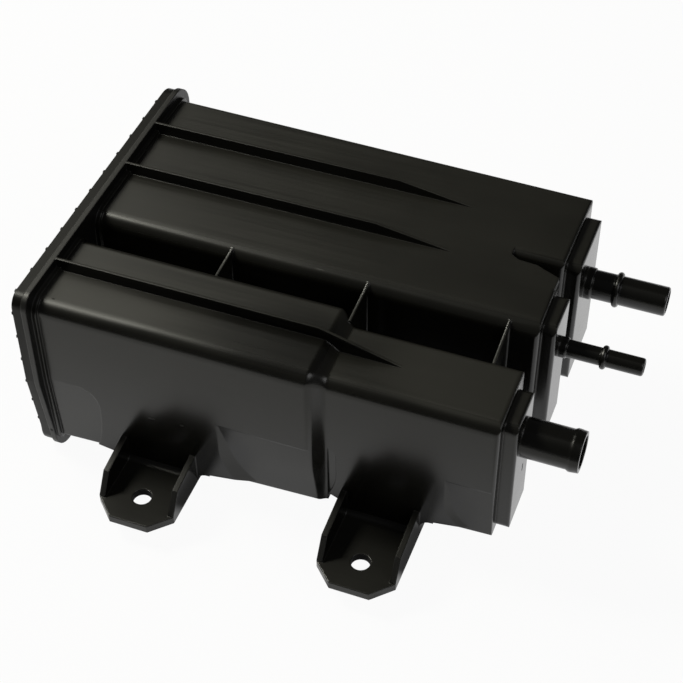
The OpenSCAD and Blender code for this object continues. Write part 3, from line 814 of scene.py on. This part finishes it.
@dataclass
class WeldSeam:
    """Dark bead round the seam between the flange and the cover: painted shade of the groove there."""

    seam_x: float = -126.9 * MM
    front_y: float = 18.0 * MM
    rear_y: float = 212.8 * MM
    top_z: float = 108.7 * MM
    knee_z: float = 50.0 * MM
    foot_z: float = -9.7 * MM
    front_radius: float = 7.5 * MM
    rear_radius: float = 15.0 * MM
    foot_radius: float = 13.5 * MM
    front_lean: float = 7.6 * MM
    rear_lean: float = 1.5 * MM
    bead_radius: float = 0.32 * MM
    ripple: float = 0.12 * MM
    step: float = 1.6 * MM
    seed: float = 4.0
    corner_steps: int = 12

    def build(self, store: FinishStore) -> bpy.types.Object:
        """Sweep the bead round the outline and dress it.

        Args:
            store: lender of the finishes.

        Returns:
            The new piece.
        """
        points = self.outline()
        count = len(points)
        mesh = bpy.data.meshes.new("seam_shade_bead")
        mesh.from_pydata(points, [(i, (i + 1) % count) for i in range(count)], [])
        piece = bpy.data.objects.new("seam_shade_bead", mesh)
        bpy.context.scene.collection.objects.link(piece)
        sizes = {"Bead Radius": self.bead_radius, "Ripple": self.ripple, "Step": self.step, "Seed": self.seed}
        sweep = NodeTree("seam_shade_sweep", sizes)
        self.lay_nodes(sweep, store.material(Finish.FLASH))
        sweep.apply(piece)
        store.dress(piece, Finish.FLASH)
        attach(piece, BODY)
        return piece

    def outline(self) -> list[Point]:
        """Points of the cover's outline, in the plane of the seam.

        Returns:
            The points, in order round the outline.
        """
        drop = self.knee_z - self.foot_z
        front_turn, rear_turn = math.atan(self.front_lean / drop), math.atan(self.rear_lean / drop)
        foot = self.foot_radius
        front_foot = self.front_y + self.front_lean + foot * (1 - math.sin(front_turn)) / math.cos(front_turn)
        rear_foot = self.rear_y - self.rear_lean - foot * (1 - math.sin(rear_turn)) / math.cos(rear_turn)
        half, quarter = math.pi, math.pi / 2
        front, rear = self.front_radius, self.rear_radius
        corners = (
            (self.front_y + front, self.top_z - front, front, half, quarter),
            (self.rear_y - rear, self.top_z - rear, rear, quarter, 0.0),
            (self.rear_y, self.knee_z, 0.0, 0.0, 0.0),
            (rear_foot, self.foot_z + foot, foot, -rear_turn, -quarter),
            (front_foot, self.foot_z + foot, foot, -quarter, front_turn - half),
            (self.front_y, self.knee_z, 0.0, 0.0, 0.0),
        )
        points = []
        for y, z, radius, start, end in corners:
            steps = self.corner_steps if radius else 0
            for k in range(steps + 1):
                angle = start + (end - start) * k / max(steps, 1)
                points.append((self.seam_x, y + radius * math.cos(angle), z + radius * math.sin(angle)))
        return points

    @staticmethod
    def lay_nodes(sweep: NodeTree, material: bpy.types.Material) -> None:
        """Lay the nodes that turn the outline into a bead.

        Args:
            sweep: the tree to fill.
            material: finish of the bead.
        """
        path = sweep.node("GeometryNodeMeshToCurve", {}, {"Mesh": sweep.given("Geometry")})
        even = sweep.node("GeometryNodeResampleCurve", {"mode": "LENGTH"},
                          {"Curve": path.outputs[0], "Length": sweep.given("Step")})
        noise = sweep.node("ShaderNodeTexNoise", {"noise_dimensions": "4D"},
                           {"W": sweep.given("Seed"), "Scale": 260.0, "Detail": 2.0})
        centred = sweep.node("ShaderNodeVectorMath", {"operation": "SUBTRACT"},
                             {0: noise.outputs["Color"], 1: (0.5, 0.5, 0.5)})
        shift = sweep.node("ShaderNodeVectorMath", {"operation": "SCALE"},
                           {0: centred.outputs[0], "Scale": sweep.given("Ripple")})
        wavy = sweep.node("GeometryNodeSetPosition", {},
                          {"Geometry": even.outputs[0], "Offset": shift.outputs[0]})
        profile = sweep.node("GeometryNodeCurvePrimitiveCircle", {},
                             {"Resolution": 8, "Radius": sweep.given("Bead Radius")})
        bead = sweep.node("GeometryNodeCurveToMesh", {},
                          {"Curve": wavy.outputs[0], "Profile Curve": profile.outputs[0]})
        real = sweep.node("GeometryNodeRealizeInstances", {}, {"Geometry": bead.outputs[0]})
        dressed = sweep.node("GeometryNodeSetMaterial", {},
                             {"Geometry": real.outputs[0], "Material": material})
        sweep.close(dressed.outputs[0])


@dataclass
class InnerPieces:
    """Beds, pads, plates and springs inside the chambers, which keep their solids."""

    kinds: tuple[tuple[str, Finish], ...] = (
        ("carbon_bed", Finish.CARBON),
        ("port_filter", Finish.FLEECE),
        ("cover_filter", Finish.FOAM),
        ("pressure_plate", Finish.PLATE),
        ("spring", Finish.SPRING),
    )

    def dress(self, store: FinishStore) -> None:
        """Dress each solid by the ending of its name.

        Args:
            store: lender of the finishes.
        """
        for name, solid in sorted(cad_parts.items()):
            for ending, finish in self.kinds:
                if name.endswith(ending):
                    store.dress(solid, finish)


@dataclass(frozen=True)
class Softbox:
    """A soft box that faces the part."""

    name: str
    at: Point
    size: tuple[float, float]
    power: float
    tint: Colour
    aim: Point = (0.0, 0.08, 0.05)

    def hang(self) -> None:
        """Make the lamp and turn it to its aim."""
        light = bpy.data.lights.new(self.name, "AREA")
        light.shape = "RECTANGLE"
        light.size, light.size_y = self.size
        light.energy = self.power
        light.color = self.tint
        lamp = bpy.data.objects.new(self.name, light)
        lamp.location = self.at
        lamp.rotation_euler = (Vector(self.aim) - Vector(self.at)).to_track_quat("-Z", "Y").to_euler()
        bpy.context.scene.collection.objects.link(lamp)


@dataclass
class Stage:
    """White floor and soft studio light round the part.

    The mirrored strengths are painted light that the part's gloss sees on the floor: in front, below and
    behind. The floor is dark to that gloss round the tabs, a painted shadow within the spans of tab_below,
    tab_beside and tab_rear.
    """

    reach: float = 0.85
    behind: float = 0.30
    glow: float = 0.95
    mirrored_far: float = 0.24
    mirrored_near: float = 0.40
    mirrored_behind: float = 0.22
    near_span: tuple[float, float] = (-70.0 * MM, 0.0)
    behind_span: tuple[float, float] = (35.0 * MM, 75.0 * MM)
    tab_x: float = 61.0 * MM
    tab_shade: float = 0.9
    tab_below: tuple[float, float] = (24.0 * MM, 18.0 * MM)
    tab_below_front: tuple[float, float] = (-22.0 * MM, -14.0 * MM)
    tab_beside: tuple[float, float] = (45.0 * MM, 30.0 * MM)
    tab_beside_front: tuple[float, float] = (6.0 * MM, 14.0 * MM)
    tab_rear: tuple[float, float] = (60.0 * MM, 40.0 * MM)
    paper_tone: float = 0.60
    sky: float = 0.045
    lamps: tuple[Softbox, ...] = (
        Softbox("key_softbox", (-1.04, 0.10, 1.34), (0.30, 0.45), 20.0, WARM),
        Softbox("back_panel", (-1.22, 0.90, 1.10), (1.2, 1.2), 5.5, WARM),
        Softbox("side_softbox", (-1.12, 0.48, 1.32), (0.35, 0.45), 5.0, WARM),
        Softbox("fill_softbox", (1.20, -0.30, 1.20), (0.9, 0.9), 5.0, WHITE),
    )

    def build(self) -> None:
        """Make the floor, the sky and the lamps."""
        self.floor()
        self.world()
        for lamp in self.lamps:
            lamp.hang()

    def floor(self) -> None:
        """Lay a round floor under the lowest point of the part."""
        mesh = bpy.data.meshes.new("floor")
        work = bmesh.new()
        middle = Matrix.Translation((0.0, self.behind, CAD_BOX[0].z))
        bmesh.ops.create_circle(work, cap_ends=True, segments=96, radius=self.reach, matrix=middle)
        work.to_mesh(mesh)
        work.free()
        piece = bpy.data.objects.new("floor", mesh)
        bpy.context.scene.collection.objects.link(piece)
        mesh.materials.append(self.paper())

    def paper(self) -> bpy.types.Material:
        """White paper that stays white to the camera, shows painted light and a painted shadow round the tabs
        to the part's gloss, and still takes shadows.

        Returns:
            The floor's material.
        """
        shader = Shader(bpy.data.materials.new("white_paper"))
        rays = shader.node("ShaderNodeLightPath", {}, {}).outputs
        camera, glossy, through = (
            Value(shader, rays[f"Is {kind} Ray"]) for kind in ("Camera", "Glossy", "Transmission")
        )
        back = shader.along(1)
        shade = self.painted_tab_shadow(shader, back)
        # Painted light on the floor that only reflections show: dimmest in front of the part, brighter
        # further back.
        near = back.ramp(*self.near_span) * self.mirrored_near
        rear = back.ramp(*self.behind_span) * self.mirrored_behind
        mirrored = (near + rear + self.mirrored_far) * (1 - shade * self.tab_shade)
        share = (camera * self.glow).either(glossy.either(through) * mirrored)
        lit = shader.node("ShaderNodeBsdfDiffuse", {}, {"Color": (*(self.paper_tone,) * 3, 1.0)})
        dark = shader.node("ShaderNodeBsdfDiffuse", {}, {"Color": (0.0, 0.0, 0.0, 1.0)})
        glow = shader.node("ShaderNodeEmission", {}, {"Color": (*WHITE, 1.0), "Strength": 1.0})
        # Painted shadow round the tabs: the paper turns black to the part's gloss there.
        paper = self.mix(shader, shade * glossy * self.tab_shade, lit, dark)
        seen = self.mix(shader, share, paper, glow)
        shader.node("ShaderNodeOutputMaterial", {}, {"Surface": seen.outputs[0]})
        return shader.owner

    def painted_tab_shadow(self, shader: Shader, back: Value) -> Value:
        """Mask of the painted shadow on the floor below and beside the tabs, which only reflections show.

        Args:
            shader: the material under construction.
            back: the floor's coordinate towards the rear.

        Returns:
            1 near the tabs, 0 elsewhere.
        """
        beside = abs(abs(shader.along(0)) - self.tab_x)
        below = beside.ramp(*self.tab_below) * back.ramp(*self.tab_below_front)
        side = beside.ramp(*self.tab_beside) * back.ramp(*self.tab_beside_front)
        return below.either(side) * back.ramp(*self.tab_rear)

    @staticmethod
    def mix(shader: Shader, share: Value, first: bpy.types.Node, second: bpy.types.Node) -> bpy.types.Node:
        """Mix Shader of two shaders, by the share of the second."""
        return shader.node("ShaderNodeMixShader", {}, {0: share, 1: first.outputs[0], 2: second.outputs[0]})

    def world(self) -> None:
        """Make the sky dim for the part and white behind it."""
        shader = Shader(bpy.data.worlds.new("studio"))
        seen = Value(shader, shader.node("ShaderNodeLightPath", {}, {}).outputs["Is Camera Ray"])
        tone = shader.blend(seen, (self.sky,) * 3, WHITE)
        sky = shader.node("ShaderNodeBackground", {}, {"Color": tone, "Strength": 1.0})
        shader.node("ShaderNodeOutputWorld", {}, {"Surface": sky.outputs[0]})
        bpy.context.scene.world = shader.owner


@dataclass
class Viewpoint:
    """Camera at the photograph's place."""

    eye: Point = (0.23657, -0.48344, 0.68410)
    target: Point = (0.01730, 0.08949, 0.06300)
    roll_deg: float = -0.43
    sensor_mm: float = 36.0
    focal_px: float = 1670.63
    frame_px: float = 683.0

    def build(self) -> None:
        """Make the camera and hand it to the scene."""
        lens = bpy.data.cameras.new("photo_camera")
        lens.sensor_width = self.sensor_mm
        lens.lens = self.sensor_mm * self.focal_px / self.frame_px
        lens.clip_start, lens.clip_end = 0.01, 50.0
        camera = bpy.data.objects.new("photo_camera", lens)
        turn = (Vector(self.target) - Vector(self.eye)).to_track_quat("-Z", "Y").to_matrix().to_4x4()
        roll = Matrix.Rotation(math.radians(self.roll_deg), 4, "Z")
        camera.matrix_world = Matrix.Translation(self.eye) @ turn @ roll
        bpy.context.scene.collection.objects.link(camera)
        bpy.context.scene.camera = camera


def write_sizes() -> None:
    """Update the view layer."""
    bpy.context.view_layer.update()


def main() -> None:
    """Dress the part and set the stage."""
    logging.basicConfig(level=logging.INFO, format="%(message)s")
    bpy.context.scene.view_settings.view_transform = "Standard"
    Viewpoint().build()
    Stage().build()
    store = FinishStore()
    MouldedShell("canister_body", "canister_shell", Finish.BODY, FRONT_PADS).build(store)
    MouldedShell("end_cover", "cover_shell", Finish.COVER).build(store)
    WeldSeam().build(store)
    InnerPieces().dress(store)
    write_sizes()


if __name__ == "__main__":
    main()
